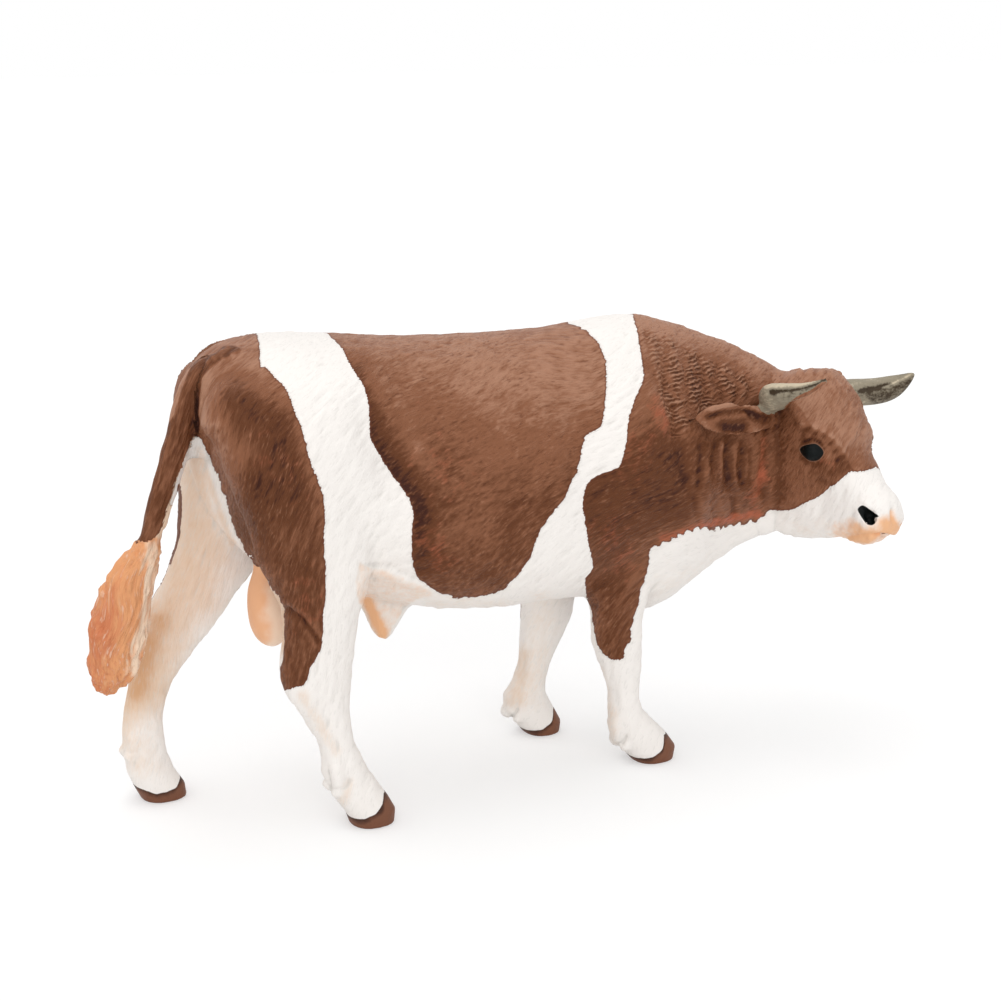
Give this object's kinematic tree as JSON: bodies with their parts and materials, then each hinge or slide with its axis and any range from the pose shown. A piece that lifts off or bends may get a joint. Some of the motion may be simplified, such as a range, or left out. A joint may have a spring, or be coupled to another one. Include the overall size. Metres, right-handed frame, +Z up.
{
  "type": "toy farm animal figure",
  "caption": "Moulded and painted toy bull in a walking stance, brown and white, horned, head turned to its right; stands free on its hooves.",
  "frame": {"origin": "middle of the bounding box in plan, at the level of the four soles", "axes": "+X forwards along the trunk towards the head, +Y to the bull's left, +Z up"},
  "size_m": [0.1456, 0.0482, 0.0753],
  "materials": {
    "hide_brown": "solid soft plastic, painted reddish brown and white, matt with a faint sheen",
    "hide_white": "solid soft plastic, painted warm white with cream shading and brown hooves",
    "horn": "solid soft plastic, painted grey brown with darker grooves",
    "tail_hair": "solid soft plastic, painted dark brown with a peach brush",
    "skin": "solid soft plastic, painted peach"
  },
  "bodies": {
    "root": {"torso": "hide_brown", "head": "hide_white", "right_horn": "horn", "left_horn": "horn", "right_ear": "hide_brown", "left_ear": "hide_brown", "right_hind_leg": "hide_white", "left_hind_leg": "hide_white", "right_foreleg": "hide_white", "left_foreleg": "hide_white", "tail": "tail_hair", "scrotum": "skin"}
  },
  "joints": []
}
